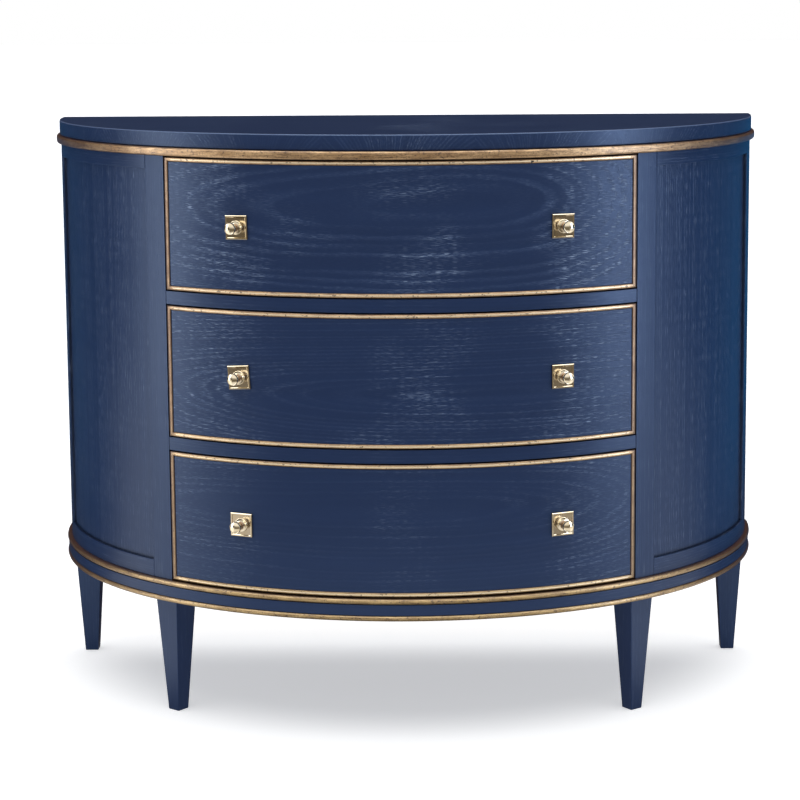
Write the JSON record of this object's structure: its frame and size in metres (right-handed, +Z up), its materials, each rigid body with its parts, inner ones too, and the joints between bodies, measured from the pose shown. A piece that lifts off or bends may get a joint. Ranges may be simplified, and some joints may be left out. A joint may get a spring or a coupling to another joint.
{
  "type": "demilune chest of drawers",
  "caption": "Half-round chest of bowed sliding drawers on square tapered legs, painted navy with gilt mouldings and brass knobs on square plates.",
  "frame": {"origin": "on the floor under the middle of the chest's bounding box", "axes": "+X to the right along the flat back, +Y from the bowed front to the back, +Z up"},
  "size_m": [1.116, 0.495, 0.877],
  "materials": {
    "navy_paint": "satin navy paint over open-grained oak",
    "gilding": "antiqued gold leaf on wood mouldings",
    "brass": "polished",
    "plain_wood": "unpainted, sanded"
  },
  "bodies": {
    "carcase": {"top_board": "navy_paint", "sub_top": "navy_paint", "base_board": "navy_paint", "base_band": "navy_paint", "drawer_rail_upper": "navy_paint", "drawer_rail_lower": "navy_paint", "front_leg_left": "navy_paint", "front_leg_right": "navy_paint", "rear_leg_left": "navy_paint", "rear_leg_right": "navy_paint", "front_stile_left": "navy_paint", "front_stile_right": "navy_paint", "rear_stile_left": "navy_paint", "rear_stile_right": "navy_paint", "side_top_rail_left": "navy_paint", "side_top_rail_right": "navy_paint", "side_bottom_rail_left": "navy_paint", "side_bottom_rail_right": "navy_paint", "side_panel_left": "navy_paint", "side_panel_right": "navy_paint", "top_gilt_band": "gilding", "base_bead_upper": "gilding", "base_bead_lower": "gilding", "back_panel": "plain_wood", "partition_left": "plain_wood", "partition_right": "plain_wood", "runner_upper_left": "plain_wood", "runner_upper_right": "plain_wood", "runner_lower_left": "plain_wood", "runner_lower_right": "plain_wood"},
    "top_drawer": {"top_drawer_front": "navy_paint", "top_drawer_cock_bead": "gilding", "top_drawer_side_left": "plain_wood", "top_drawer_side_right": "plain_wood", "top_drawer_back": "plain_wood", "top_drawer_bottom": "plain_wood", "top_knob_plate_left": "brass", "top_knob_plate_right": "brass", "top_knob_left": "brass", "top_knob_right": "brass"},
    "middle_drawer": {"middle_drawer_front": "navy_paint", "middle_drawer_cock_bead": "gilding", "middle_drawer_side_left": "plain_wood", "middle_drawer_side_right": "plain_wood", "middle_drawer_back": "plain_wood", "middle_drawer_bottom": "plain_wood", "middle_knob_plate_left": "brass", "middle_knob_plate_right": "brass", "middle_knob_left": "brass", "middle_knob_right": "brass"},
    "bottom_drawer": {"bottom_drawer_front": "navy_paint", "bottom_drawer_cock_bead": "gilding", "bottom_drawer_side_left": "plain_wood", "bottom_drawer_side_right": "plain_wood", "bottom_drawer_back": "plain_wood", "bottom_drawer_bottom": "plain_wood", "bottom_knob_plate_left": "brass", "bottom_knob_plate_right": "brass", "bottom_knob_left": "brass", "bottom_knob_right": "brass"}
  },
  "joints": [
    {"name": "top_drawer_slide", "type": "slide", "parent": "carcase", "child": "top_drawer", "axis": [0, -1, 0], "range_m": [0, 0.3]},
    {"name": "middle_drawer_slide", "type": "slide", "parent": "carcase", "child": "middle_drawer", "axis": [0, -1, 0], "range_m": [0, 0.3]},
    {"name": "bottom_drawer_slide", "type": "slide", "parent": "carcase", "child": "bottom_drawer", "axis": [0, -1, 0], "range_m": [0, 0.3]}
  ]
}
